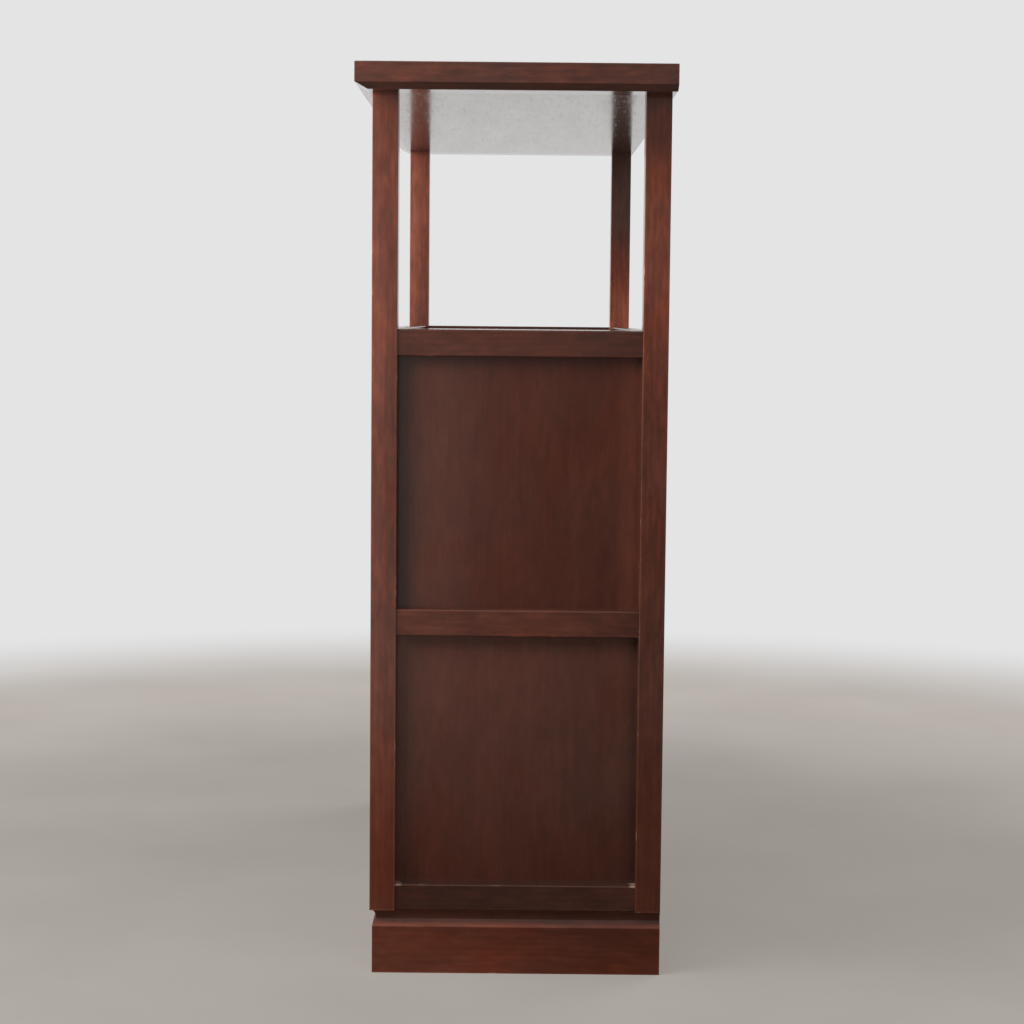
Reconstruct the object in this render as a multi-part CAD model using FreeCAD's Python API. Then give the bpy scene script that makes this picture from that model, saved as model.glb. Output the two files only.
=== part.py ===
import FreeCAD, Part
import os

# Korean display shelf: an open tier on four slender posts above two cupboard tiers, on a moulded plinth.
# Millimetres. +Z is up, the front faces -Y, and the origin is on the floor under the middle of the top.

# Case, measured over the four corner posts
CASE_WIDTH = 953.0
CASE_DEPTH = 344.0
HEIGHT = 1062.0
POST = 30.0

# Top: one board with a cross-grained cleat at each end, bevelled underneath at the front and the ends
TOP_THICK = 30.0
TOP_EDGE = 23.0
TOP_BEVEL = 14.0
END_OVERHANG = 47.0
FRONT_OVERHANG = 17.5
BACK_OVERHANG = 4.0
CLEAT_WIDTH = 57.0
TONGUE_THICK = 10.0
TONGUE_LENGTH = 20.0
TONGUE_STOP = 32.0

# Rails, with the underside of each rail frame
RAIL_HEIGHT = 31.0
RAIL_THICK = 24.0
RAIL_SETBACK = 2.5
BASE_Z = 76.0
MIDDLE_Z = 403.5
DECK_Z = 730.5

# Joints: rail tenons pass each other inside the post at two heights
TENON_THICK = 8.0
TENON_HEIGHT = 8.0
TENON_LENGTH = 15.0
TENON_INSET = 9.0
REAR_TENON_INSET = 13.0
LONG_TENON_Z = 15.0
END_TENON_Z = 4.0
MORTISE_SPARE = 0.5
POST_TENON = (12.0, 15.0, 18.0)
POST_TENON_INSET = (14.0, 7.0)

# Loose panels, with the distance from the post face to each panel's face
END_PANEL_INSET = 18.5
END_PANEL_THICK = 7.0
BACK_PANEL_INSET = 5.5
BACK_PANEL_THICK = 6.0
FRONT_PANEL_INSET = 14.5
FRONT_PANEL_THICK = 6.0
POST_GROOVE = 5.0
RAIL_GROOVE = 6.0
PANEL_SPARE = 0.5

# Shelf boards, grooved into the rails by a tongue on their lower half
SHELF_DROP = 4.0
SHELF_THICK = 13.0
SHELF_TONGUE = 6.0
SHELF_GROOVE = 7.0
SHELF_GAP = 0.5

# Plinth: a plain face, a chamfer above it and a cove under the case
PLINTH_SETBACK = 2.9
PLINTH_FACE = 56.0
COVE_LOW = 64.5
COVE_DEEP = 8.0
COVE_TOP = 2.6
PLINTH_THICK = 22.0
BLOCK_SIDE = 35.0
BLOCK_HEIGHT = 50.0
DOWEL_RADIUS = 4.0
DOWEL_IN_PLINTH = 20.0
DOWEL_IN_RAIL = 12.0
DOWEL_INSET = 14.5
DOWEL_X = 300.0
DOWEL_Y = 90.0

# Front of each cupboard: a pair of doors between two muntins, and a fixed panel each side
DOOR_OPENING = 433.0
MUNTIN = 26.0
MUNTIN_TENON = (12.0, 8.0, 8.0)
DOOR_THICK = 20.0
DOOR_STILE = 30.0
DOOR_RAIL = 30.0
DOOR_GAP = 1.2
HINGE_GAP = 1.0
MEETING_GAP = 1.5
MEETING_BEVEL = 1.5
DOOR_TENON = (15.0, 8.0, 18.0)
DOOR_PANEL_INSET = 7.0
DOOR_PANEL_THICK = 6.0
DOOR_GROOVE = 5.5
STOP_LENGTH = 120.0
STOP_DEPTH = 8.0
STOP_DROP = 10.0
STOP_RISE = 11.0
STOP_CLEAR = 0.4

# Plate hinges, two to a door, nailed to the face
LEAF_WIDTH = 20.0
LEAF_HEIGHT = 40.0
LEAF_THICK = 1.2
LEAF_CORNER = 3.0
KNUCKLE_RADIUS = 2.6
KNUCKLE_LIFT = 0.3
KNUCKLE_GAP = 0.3
KNUCKLE_CLEAR = 0.5
PIN_RADIUS = 1.3
PIN_FIT = 0.04
PIN_HEAD = 1.5
HINGE_FROM_EDGE = 48.0
NAIL_RADIUS = 0.8
NAIL_LENGTH = 9.0
NAIL_HEAD_RADIUS = 1.7
NAIL_HEAD_HEIGHT = 0.9
NAIL_EDGE = 4.5
NAIL_ROWS = 6.5

# Ring pulls on the meeting stiles
PLATE_RADIUS = 13.0
PLATE_THICK = 1.2
EYE_RADIUS = 3.7
EYE_THICK = 3.2
EYE_HOLE = 1.75
EYE_RISE = 7.0
EYE_STAND = 3.4
SHANK_RADIUS = 1.7
SHANK_LENGTH = 14.0
RING_RADIUS = 10.5
RING_WIRE = 1.4

# Small rounded arrises left by the plane
POST_ARRIS = 1.2
RAIL_ARRIS = 1.6
TOP_ARRIS = 1.2

# Derived places
END = CASE_WIDTH / 2
TOP_DEPTH = CASE_DEPTH + FRONT_OVERHANG + BACK_OVERHANG
FRONT = FRONT_OVERHANG - TOP_DEPTH / 2
BACK = FRONT + CASE_DEPTH
TOP_UNDER = HEIGHT - TOP_THICK
TOP_END = END + END_OVERHANG
CLEAT_JOINT = TOP_END - CLEAT_WIDTH
FACE = FRONT + RAIL_SETBACK
INNER_END = END - POST
RAIL_INNER = RAIL_SETBACK + RAIL_THICK
UPPER_TIER = (MIDDLE_Z + RAIL_HEIGHT, DECK_Z)
LOWER_TIER = (BASE_Z + RAIL_HEIGHT, MIDDLE_Z)
TIERS = (("upper", UPPER_TIER), ("lower", LOWER_TIER))
MUNTIN_INNER = DOOR_OPENING / 2
MUNTIN_OUTER = MUNTIN_INNER + MUNTIN
HINGE_X = MUNTIN_INNER - HINGE_GAP / 2
HINGE_Y = FACE - KNUCKLE_RADIUS - KNUCKLE_LIFT
NEAR = 0.01
UP = FreeCAD.Vector(0, 0, 1)
ALONG_X = FreeCAD.Vector(1, 0, 0)
ALONG_Y = FreeCAD.Vector(0, 1, 0)


def box(x0, x1, y0, y1, z0, z1):
    """Block between two opposite corners."""
    corner = FreeCAD.Vector(min(x0, x1), min(y0, y1), min(z0, z1))
    return Part.makeBox(abs(x1 - x0), abs(y1 - y0), abs(z1 - z0), corner)


def rod(radius, start, end):
    """Round bar from one point to another."""
    start = FreeCAD.Vector(*start)
    way = FreeCAD.Vector(*end) - start
    return Part.makeCylinder(radius, way.Length, start, way)


def prism(points, way):
    """Solid swept from a closed outline of points along a vector."""
    points = [FreeCAD.Vector(*p) for p in points]
    outline = Part.makePolygon(points + points[:1])
    return Part.Face(outline).extrude(FreeCAD.Vector(*way))


def eased(shape, radius, chosen):
    """Shape with the chosen edges rounded."""
    return shape.makeFillet(radius, [edge for edge in shape.Edges if chosen(edge)])


def along(way):
    """Choice of the edges that run one way."""
    def chosen(edge):
        start, end = [vertex.Point for vertex in edge.Vertexes]
        return abs((end - start).dot(way)) > edge.Length - NEAR
    return chosen


def top_arris(edge):
    """Choice of the upper edges and the lower back edge of the top, away from its joints."""
    middle = edge.CenterOfMass
    at_joint = abs(abs(middle.x) - CLEAT_JOINT) < NEAR
    upper = middle.z > HEIGHT - NEAR
    lower_back = middle.y > TOP_DEPTH / 2 - NEAR and middle.z < TOP_UNDER + NEAR
    return not at_joint and (upper or lower_back)


def other_end(shape):
    """The same piece for the left end of the shelf."""
    return shape.mirror(FreeCAD.Vector(0, 0, 0), ALONG_X)


def pair(shape):
    """A piece and its twin at the left end, as separate solids."""
    return [shape, other_end(shape)]


def save(node, pieces):
    """Write one node, which is a solid or a group of separate solids."""
    shape = pieces if isinstance(pieces, Part.Shape) else Part.makeCompound(pieces)
    for solid in shape.Solids:
        assert solid.isValid() and solid.Volume > 0, node
    shape.exportStep(f"parts/{node}.step")


def save_both_ends(node, shape):
    """Write a right-hand piece and its left-hand twin."""
    save(node.format(side="right"), shape)
    save(node.format(side="left"), other_end(shape))


def top_main_board():
    """Board with its grain along the shelf, a stopped tongue at each end and four post mortises."""
    front = -TOP_DEPTH / 2
    back = TOP_DEPTH / 2
    section = [
        (-CLEAT_JOINT, front, HEIGHT),
        (-CLEAT_JOINT, front, HEIGHT - TOP_EDGE),
        (-CLEAT_JOINT, front + TOP_BEVEL, TOP_UNDER),
        (-CLEAT_JOINT, back, TOP_UNDER),
        (-CLEAT_JOINT, back, HEIGHT),
    ]
    board = eased(prism(section, (2 * CLEAT_JOINT, 0, 0)), TOP_ARRIS, top_arris)
    for tongue in pair(top_tongue(0)):
        board = board.fuse(tongue)
    for front_post in (True, False):
        for tenon in pair(post_tenon(front_post, MORTISE_SPARE)):
            board = board.cut(tenon)
    return board.removeSplitter()


def top_tongue(spare):
    """Stopped tongue of the main board at the right end, or the groove for it."""
    middle = HEIGHT - TOP_THICK / 2
    reach = TOP_DEPTH / 2 - TONGUE_STOP + spare
    tip = CLEAT_JOINT + TONGUE_LENGTH + spare
    return box(CLEAT_JOINT, tip, -reach, reach, middle - TONGUE_THICK / 2, middle + TONGUE_THICK / 2)


def top_cleat():
    """Cross-grained cleat that covers the end grain of the main board."""
    front = -TOP_DEPTH / 2
    back = TOP_DEPTH / 2
    bevel_rise = TOP_THICK - TOP_EDGE
    end_bevel = [
        (TOP_END, front, TOP_UNDER),
        (TOP_END - TOP_BEVEL, front, TOP_UNDER),
        (TOP_END, front, TOP_UNDER + bevel_rise),
    ]
    front_bevel = [
        (CLEAT_JOINT, front, TOP_UNDER),
        (CLEAT_JOINT, front + TOP_BEVEL, TOP_UNDER),
        (CLEAT_JOINT, front, TOP_UNDER + bevel_rise),
    ]
    upper = box(CLEAT_JOINT, TOP_END, front, back, TOP_UNDER + bevel_rise, HEIGHT)
    lower = box(CLEAT_JOINT, TOP_END, front, back, TOP_UNDER, TOP_UNDER + bevel_rise)
    lower = lower.cut(prism(end_bevel, (0, TOP_DEPTH, 0))).cut(prism(front_bevel, (CLEAT_WIDTH, 0, 0)))
    cleat = eased(upper.fuse(lower).removeSplitter(), TOP_ARRIS, top_arris)
    return cleat.cut(top_tongue(MORTISE_SPARE))


def post_tenon(front_post, spare):
    """Tenon on the head of a right-hand post, or its mortise in the top."""
    width, depth, height = POST_TENON
    x = END - POST_TENON_INSET[0]
    y = FRONT + POST_TENON_INSET[1] if front_post else BACK - POST_TENON_INSET[1] - depth
    return box(x - width, x, y, y + depth, TOP_UNDER, TOP_UNDER + height + spare)


def corner_post(front_post):
    """Right-hand corner post with its mortises and panel grooves."""
    y0 = FRONT if front_post else BACK - POST
    post = eased(box(INNER_END, END, y0, y0 + POST, BASE_Z, TOP_UNDER), POST_ARRIS, along(UP))
    post = post.fuse(post_tenon(front_post, 0))
    for z in (BASE_Z, MIDDLE_Z, DECK_Z):
        post = post.cut(end_rail_tenon(front_post, z, MORTISE_SPARE))
        post = post.cut(long_rail_tenon(front_post, z, MORTISE_SPARE))
    for _, (low, high) in TIERS:
        z0 = low - RAIL_GROOVE
        z1 = high + RAIL_GROOVE
        outer = END - END_PANEL_INSET
        edge = y0 + POST if front_post else y0
        into = edge - POST_GROOVE if front_post else edge + POST_GROOVE
        post = post.cut(box(outer, outer - END_PANEL_THICK, edge, into, z0, z1))
        if front_post:
            face = FRONT + FRONT_PANEL_INSET
            post = post.cut(box(INNER_END, INNER_END + POST_GROOVE, face, face + FRONT_PANEL_THICK, z0, z1))
        else:
            face = BACK - BACK_PANEL_INSET
            post = post.cut(box(INNER_END, INNER_END + POST_GROOVE, face, face - BACK_PANEL_THICK, z0, z1))
    return post


def end_rail_tenon(front_post, rail_z, spare):
    """Tenon of a right-hand end rail, or its mortise in a post."""
    outer = END - TENON_INSET
    z = rail_z + END_TENON_Z
    edge = FRONT + POST if front_post else BACK - POST
    length = TENON_LENGTH + spare
    tip = edge - length if front_post else edge + length
    return box(outer, outer - TENON_THICK, edge, tip, z, z + TENON_HEIGHT)


def long_rail_tenon(front_rail, rail_z, spare):
    """Right-hand tenon of a front or rear rail, or its mortise in a post."""
    if front_rail:
        y = FRONT + TENON_INSET
    else:
        y = BACK - REAR_TENON_INSET - TENON_THICK
    z = rail_z + LONG_TENON_Z
    return box(INNER_END, INNER_END + TENON_LENGTH + spare, y, y + TENON_THICK, z, z + TENON_HEIGHT)


def shelf_groove_heights(rail_z):
    """Lower and upper edge of the groove that holds a shelf board."""
    low = rail_z + RAIL_HEIGHT - SHELF_DROP - SHELF_THICK
    return low, low + SHELF_TONGUE


def panel_groove_heights(rail_z):
    """Depth ranges of the panel grooves in a rail's underside and top, where a cupboard is there."""
    heights = []
    if rail_z > BASE_Z:
        heights.append((rail_z, rail_z + RAIL_GROOVE))
    if rail_z < DECK_Z:
        heights.append((rail_z + RAIL_HEIGHT - RAIL_GROOVE, rail_z + RAIL_HEIGHT))
    return heights


def end_rail(rail_z):
    """Right-hand end rail between the two posts."""
    y0 = FRONT + POST
    y1 = BACK - POST
    outer = END - RAIL_SETBACK
    inner = END - RAIL_INNER
    rail = eased(box(inner, outer, y0, y1, rail_z, rail_z + RAIL_HEIGHT), RAIL_ARRIS, along(ALONG_Y))
    rail = rail.fuse([end_rail_tenon(True, rail_z, 0), end_rail_tenon(False, rail_z, 0)])
    low, high = shelf_groove_heights(rail_z)
    rail = rail.cut(box(inner, inner + SHELF_GROOVE, y0, y1, low, high))
    panel = END - END_PANEL_INSET
    for z0, z1 in panel_groove_heights(rail_z):
        rail = rail.cut(box(panel, panel - END_PANEL_THICK, y0, y1, z0, z1))
    if rail_z == BASE_Z:
        for y in (-DOWEL_Y, DOWEL_Y):
            rail = rail.cut(dowel(END - DOWEL_INSET, y))
    return rail


def long_rail(front_rail, rail_z):
    """Front or rear rail, from the left posts to the right posts."""
    outer = FACE if front_rail else BACK - RAIL_SETBACK
    inward = 1 if front_rail else -1
    inner = outer + inward * RAIL_THICK
    rail = box(-INNER_END, INNER_END, outer, inner, rail_z, rail_z + RAIL_HEIGHT)
    rail = eased(rail, RAIL_ARRIS, along(ALONG_X))
    rail = rail.fuse(pair(long_rail_tenon(front_rail, rail_z, 0)))
    low, high = shelf_groove_heights(rail_z)
    rail = rail.cut(box(-INNER_END, INNER_END, inner, inner - inward * SHELF_GROOVE, low, high))
    for z0, z1 in panel_groove_heights(rail_z):
        if front_rail:
            face = FRONT + FRONT_PANEL_INSET
            run = box(MUNTIN_OUTER - POST_GROOVE, INNER_END, face, face + FRONT_PANEL_THICK, z0, z1)
            rail = rail.cut(pair(run))
        else:
            face = BACK - BACK_PANEL_INSET
            rail = rail.cut(box(-INNER_END, INNER_END, face, face - BACK_PANEL_THICK, z0, z1))
    if front_rail:
        for tier in (UPPER_TIER, LOWER_TIER):
            for tenon in muntin_tenons(tier, MORTISE_SPARE):
                rail = rail.cut(pair(tenon))
    if rail_z == BASE_Z:
        y = FRONT + DOWEL_INSET if front_rail else BACK - DOWEL_INSET
        rail = rail.cut(pair(dowel(DOWEL_X, y)))
    return rail


def shelf_board(rail_z):
    """Board inside a rail frame: it lies a little below the rails and is notched round the posts."""
    top = rail_z + RAIL_HEIGHT - SHELF_DROP
    low, high = shelf_groove_heights(rail_z)
    edge = RAIL_INNER + SHELF_GAP
    board = box(edge - END, END - edge, FRONT + edge, BACK - edge, low, top)
    tip = RAIL_INNER - SHELF_GROOVE + 2 * SHELF_GAP
    board = board.fuse(box(tip - END, END - tip, FRONT + tip, BACK - tip, low, high))
    notch = POST + SHELF_GAP
    for y0, y1 in ((FRONT, FRONT + notch), (BACK - notch, BACK)):
        board = board.cut(pair(box(END - notch, END, y0, y1, low, top)))
    return board.removeSplitter()


def end_panel(tier):
    """Loose panel of a cupboard's right-hand end, in grooves all round."""
    low, high = tier
    into_rail = RAIL_GROOVE - PANEL_SPARE
    into_post = POST_GROOVE - PANEL_SPARE
    outer = END - END_PANEL_INSET
    y0 = FRONT + POST - into_post
    y1 = BACK - POST + into_post
    return box(outer - END_PANEL_THICK, outer, y0, y1, low - into_rail, high + into_rail)


def back_panel(tier):
    """Loose panel across the back of a cupboard."""
    low, high = tier
    into_rail = RAIL_GROOVE - PANEL_SPARE
    reach = INNER_END + POST_GROOVE - PANEL_SPARE
    face = BACK - BACK_PANEL_INSET
    return box(-reach, reach, face - BACK_PANEL_THICK, face, low - into_rail, high + into_rail)


def front_panel(tier):
    """Fixed panel between the right-hand post and muntin."""
    low, high = tier
    into_rail = RAIL_GROOVE - PANEL_SPARE
    into_side = POST_GROOVE - PANEL_SPARE
    face = FRONT + FRONT_PANEL_INSET
    x0 = MUNTIN_OUTER - into_side
    x1 = INNER_END + into_side
    return box(x0, x1, face, face + FRONT_PANEL_THICK, low - into_rail, high + into_rail)


def muntin_tenons(tier, spare):
    """Tenons at the foot and head of a right-hand muntin, or their mortises in the front rails."""
    low, high = tier
    width, depth, length = MUNTIN_TENON
    length = length + spare
    x0 = MUNTIN_INNER + (MUNTIN - width) / 2
    y0 = FRONT + TENON_INSET - (depth - TENON_THICK) / 2
    foot = box(x0, x0 + width, y0, y0 + depth, low - length, low)
    head = box(x0, x0 + width, y0, y0 + depth, high, high + length)
    return [foot, head]


def muntin(tier):
    """Upright between the doors and the right-hand fixed panel."""
    low, high = tier
    upright = box(MUNTIN_INNER, MUNTIN_OUTER, FACE, FACE + RAIL_THICK, low, high)
    upright = eased(upright, RAIL_ARRIS, along(UP)).fuse(muntin_tenons(tier, 0))
    face = FRONT + FRONT_PANEL_INSET
    groove = box(MUNTIN_OUTER - POST_GROOVE, MUNTIN_OUTER, face, face + FRONT_PANEL_THICK, low, high)
    upright = upright.cut(groove)
    for z in hinge_heights(tier):
        upright = upright.cut([nail(x, z + rise) for x, rise in nail_places(1)])
    return upright


def plinth_section(post_face, inward, place):
    """Outline of a moulded plinth board, drawn from the post face inwards."""
    def at(inset, z):
        return place(post_face + inward * inset, z)
    rise = BASE_Z - COVE_LOW
    run = COVE_DEEP - COVE_TOP
    radius = (rise * rise + run * run) / (2 * run)
    half_rise = rise / 2
    bulge = COVE_DEEP - radius + (radius * radius - half_rise * half_rise) ** 0.5
    inner = PLINTH_SETBACK + PLINTH_THICK
    corners = [at(COVE_TOP, BASE_Z), at(inner, BASE_Z), at(inner, 0), at(PLINTH_SETBACK, 0)]
    corners += [at(PLINTH_SETBACK, PLINTH_FACE), at(COVE_DEEP, COVE_LOW)]
    lines = [Part.LineSegment(a, b).toShape() for a, b in zip(corners, corners[1:])]
    cove = Part.Arc(corners[-1], at(bulge, COVE_LOW + half_rise), corners[0]).toShape()
    return Part.Face(Part.Wire(lines + [cove]))


def mitre_wedge(beyond_front_board):
    """Half of the right-hand front corner, split on the mitre line, reaching past the plinth."""
    reach = CASE_DEPTH
    corner = (END, FRONT, -1)
    along = (END - reach, FRONT + reach, -1)
    third = (END, FRONT + reach, -1) if beyond_front_board else (END - reach, FRONT, -1)
    return prism([corner, along, third], (0, 0, BASE_Z + 2))


def plinth_end():
    """Right-hand plinth board, mitred at the front and square at the back."""
    section = plinth_section(END, -1, lambda x, z: FreeCAD.Vector(x, FRONT, z))
    board = section.extrude(FreeCAD.Vector(0, CASE_DEPTH, 0)).cut(mitre_wedge(False))
    for y in (-DOWEL_Y, DOWEL_Y):
        board = board.cut(dowel(END - DOWEL_INSET, y))
    return board


def plinth_front():
    """Front plinth board, mitred at both ends."""
    section = plinth_section(FRONT, 1, lambda y, z: FreeCAD.Vector(-END, y, z))
    board = section.extrude(FreeCAD.Vector(CASE_WIDTH, 0, 0)).cut(pair(mitre_wedge(True)))
    return board.cut(pair(dowel(DOWEL_X, FRONT + DOWEL_INSET)))


def plinth_rear():
    """Plain board between the two end boards, flush with the backs of the posts."""
    reach = END - PLINTH_SETBACK - PLINTH_THICK
    board = box(-reach, reach, BACK - PLINTH_THICK, BACK, 0, BASE_Z)
    return board.cut(pair(dowel(DOWEL_X, BACK - DOWEL_INSET)))


def plinth_blocks():
    """Glue blocks in the four inner corners of the plinth."""
    x = END - PLINTH_SETBACK - PLINTH_THICK
    z0 = BASE_Z - BLOCK_HEIGHT
    front = FRONT + PLINTH_SETBACK + PLINTH_THICK
    back = BACK - PLINTH_THICK
    blocks = pair(box(x - BLOCK_SIDE, x, front, front + BLOCK_SIDE, z0, BASE_Z))
    return blocks + pair(box(x - BLOCK_SIDE, x, back - BLOCK_SIDE, back, z0, BASE_Z))


def dowel(x, y):
    """Wooden dowel that joins a plinth board to the rail above it."""
    return rod(DOWEL_RADIUS, (x, y, BASE_Z - DOWEL_IN_PLINTH), (x, y, BASE_Z + DOWEL_IN_RAIL))


def plinth_dowels():
    """All eight dowels, two in each board."""
    dowels = pair(dowel(DOWEL_X, FRONT + DOWEL_INSET)) + pair(dowel(DOWEL_X, BACK - DOWEL_INSET))
    for y in (-DOWEL_Y, DOWEL_Y):
        dowels += pair(dowel(END - DOWEL_INSET, y))
    return dowels


def door_stop(tier):
    """Rebated strip behind the head of a pair of doors."""
    high = tier[1]
    rail_back = FACE + RAIL_THICK
    half = STOP_LENGTH / 2
    back = rail_back + STOP_DEPTH
    upper = box(-half, half, rail_back, back, high, high + STOP_RISE)
    lower = box(-half, half, FACE + DOOR_THICK + STOP_CLEAR, back, high - STOP_DROP, high)
    return upper.fuse(lower).removeSplitter()


def door_span(tier):
    """Edges of a right-hand door: meeting edge, hinge edge, foot and head."""
    low, high = tier
    return MEETING_GAP / 2, MUNTIN_INNER - HINGE_GAP, low + DOOR_GAP, high - DOOR_GAP


def door_frame(tier):
    """Right-hand door: two stiles and two rails, tenoned and grooved for the panel."""
    x0, x1, z0, z1 = door_span(tier)
    back = FACE + DOOR_THICK
    meeting = eased(box(x0, x0 + DOOR_STILE, FACE, back, z0, z1), RAIL_ARRIS, along(UP))
    relief = [(x0, FACE, z0), (x0, back, z0), (x0 + MEETING_BEVEL, back, z0)]
    meeting = meeting.cut(prism(relief, (0, 0, z1 - z0)))
    hinged = eased(box(x1 - DOOR_STILE, x1, FACE, back, z0, z1), RAIL_ARRIS, along(UP))
    length, thick, height = DOOR_TENON
    middle = FACE + DOOR_PANEL_INSET - (thick - DOOR_PANEL_THICK) / 2
    rails = []
    for foot in (z0, z1 - DOOR_RAIL):
        rail = box(x0 + DOOR_STILE, x1 - DOOR_STILE, FACE, back, foot, foot + DOOR_RAIL)
        rail = eased(rail, RAIL_ARRIS, along(ALONG_X))
        z = foot + (DOOR_RAIL - height) / 2
        for shoulder, way in ((x0 + DOOR_STILE, -1), (x1 - DOOR_STILE, 1)):
            rail = rail.fuse(box(shoulder, shoulder + way * length, middle, middle + thick, z, z + height))
            tip = shoulder + way * (length + MORTISE_SPARE)
            mortise = box(shoulder, tip, middle, middle + thick, z, z + height)
            meeting = meeting.cut(mortise)
            hinged = hinged.cut(mortise)
        rails.append(rail)
    groove = door_panel(tier, DOOR_GROOVE)
    frame = [meeting, hinged] + rails
    holes = [pull_shank(tier)]
    for z in hinge_heights(tier):
        holes += [nail(x, z + rise) for x, rise in nail_places(-1)]
    return [piece.cut([groove] + holes) for piece in frame]


def door_panel(tier, into):
    """Loose panel of a right-hand door, or the groove round it."""
    x0, x1, z0, z1 = door_span(tier)
    face = FACE + DOOR_PANEL_INSET
    side = DOOR_STILE - into
    end = DOOR_RAIL - into
    return box(x0 + side, x1 - side, face, face + DOOR_PANEL_THICK, z0 + end, z1 - end)


def hinge_heights(tier):
    """Middle of each of a door's two hinges."""
    low, high = tier
    return low + HINGE_FROM_EDGE, high - HINGE_FROM_EDGE


def nail_places(way):
    """Nails of one leaf: distance along X and above the hinge's middle. way is 1 on the muntin."""
    rise = LEAF_HEIGHT / 2 - NAIL_EDGE
    far = HINGE_X + way * (LEAF_WIDTH - NAIL_EDGE)
    near = far - way * NAIL_ROWS
    return [(x, z) for x in (near, far) for z in (-rise, rise)]


def nail(x, z):
    """Round-headed nail through a leaf into the wood."""
    front = FACE - LEAF_THICK
    shank = rod(NAIL_RADIUS, (x, front, z), (x, FACE + NAIL_LENGTH, z))
    height = NAIL_HEAD_HEIGHT
    dome = (NAIL_HEAD_RADIUS ** 2 + height ** 2) / (2 * height)
    ball = Part.makeSphere(dome, FreeCAD.Vector(x, front - height + dome, z))
    head = ball.common(box(x - 2 * dome, x + 2 * dome, front - height, front, z - 2 * dome, z + 2 * dome))
    return shank.fuse(head).removeSplitter()


def hinge_leaf(way, z, knuckles):
    """One leaf and its knuckles. way is 1 on the muntin and -1 on the door; z is the hinge's middle."""
    half = LEAF_HEIGHT / 2
    front = FACE - LEAF_THICK
    near = HINGE_X + way * (KNUCKLE_RADIUS + KNUCKLE_CLEAR)
    far = HINGE_X + way * LEAF_WIDTH
    cut = far - way * LEAF_CORNER
    outline = [
        (near, front, z - half),
        (cut, front, z - half),
        (far, front, z - half + LEAF_CORNER),
        (far, front, z + half - LEAF_CORNER),
        (cut, front, z + half),
        (near, front, z + half),
    ]
    leaf = prism(outline, (0, LEAF_THICK, 0))
    for low, high in knuckles:
        leaf = leaf.fuse(box(HINGE_X, near, front, FACE - KNUCKLE_LIFT, z + low, z + high))
        leaf = leaf.fuse(rod(KNUCKLE_RADIUS, (HINGE_X, HINGE_Y, z + low), (HINGE_X, HINGE_Y, z + high)))
    leaf = leaf.cut(rod(PIN_RADIUS + PIN_FIT, (HINGE_X, HINGE_Y, z - half), (HINGE_X, HINGE_Y, z + half)))
    leaf = leaf.cut([nail(x, z + rise) for x, rise in nail_places(way)])
    return leaf.removeSplitter()


def fixed_leaves(tier):
    """Muntin leaves of a right-hand door's hinges, with the two outer knuckles, and their nails."""
    half = LEAF_HEIGHT / 2
    third = LEAF_HEIGHT / 6
    pieces = []
    for z in hinge_heights(tier):
        pieces.append(hinge_leaf(1, z, [(-half, -third), (third, half)]))
        pieces += [nail(x, z + rise) for x, rise in nail_places(1)]
    return pieces


def door_leaves(tier):
    """Door leaves of a right-hand door's hinges, with the middle knuckle, and their nails."""
    reach = LEAF_HEIGHT / 6 - KNUCKLE_GAP
    pieces = []
    for z in hinge_heights(tier):
        pieces.append(hinge_leaf(-1, z, [(-reach, reach)]))
        pieces += [nail(x, z + rise) for x, rise in nail_places(-1)]
    return pieces


def hinge_pin(z):
    """Pin with a flat head that rests on the upper knuckle."""
    foot = (HINGE_X, HINGE_Y, z - LEAF_HEIGHT / 2)
    neck = (HINGE_X, HINGE_Y, z + LEAF_HEIGHT / 2)
    crown = (HINGE_X, HINGE_Y, z + LEAF_HEIGHT / 2 + PIN_HEAD)
    return rod(PIN_RADIUS, foot, neck).fuse(rod(KNUCKLE_RADIUS, neck, crown)).removeSplitter()


def pull_centre(tier):
    """Middle of a pull's plate on a right-hand meeting stile."""
    return MEETING_GAP / 2 + DOOR_STILE / 2, (tier[0] + tier[1]) / 2


def pull_shank(tier):
    """Shank of the eye, from its head back into the stile."""
    x, z = pull_centre(tier)
    z = z + EYE_RISE
    return rod(SHANK_RADIUS, (x, FACE - EYE_STAND, z), (x, FACE + SHANK_LENGTH, z))


def pull_plate(tier):
    """Round plate with a turned-down rim, and the eye that holds the ring."""
    x, z = pull_centre(tier)
    plate = rod(PLATE_RADIUS, (x, FACE - PLATE_THICK, z), (x, FACE, z))
    rim = [edge for edge in plate.Edges if edge.BoundBox.YMax < FACE - NEAR]
    plate = plate.makeChamfer(PLATE_THICK / 2, rim).cut(pull_shank(tier))
    eye_z = z + EYE_RISE
    half = EYE_THICK / 2
    y = FACE - EYE_STAND
    eye = rod(EYE_RADIUS, (x - half, y, eye_z), (x + half, y, eye_z))
    reach = EYE_RADIUS + EYE_STAND
    behind = box(x - half, x + half, FACE - PLATE_THICK, FACE + reach, eye_z - reach, eye_z + reach)
    eye = eye.cut(behind).fuse(pull_shank(tier))
    eye = eye.cut(rod(EYE_HOLE, (x - 2 * EYE_THICK, y, eye_z), (x + 2 * EYE_THICK, y, eye_z)))
    return [plate, eye.removeSplitter()]


def pull_ring(tier):
    """Ring that hangs in the eye."""
    x, z = pull_centre(tier)
    centre = FreeCAD.Vector(x, FACE - EYE_STAND, z + EYE_RISE - RING_RADIUS)
    return Part.makeTorus(RING_RADIUS, RING_WIRE, centre, ALONG_Y)


os.makedirs("parts", exist_ok=True)

save("top_board", top_main_board())
save_both_ends("top_cleat_{side}", top_cleat())
save_both_ends("post_front_{side}", corner_post(True))
save_both_ends("post_rear_{side}", corner_post(False))

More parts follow.
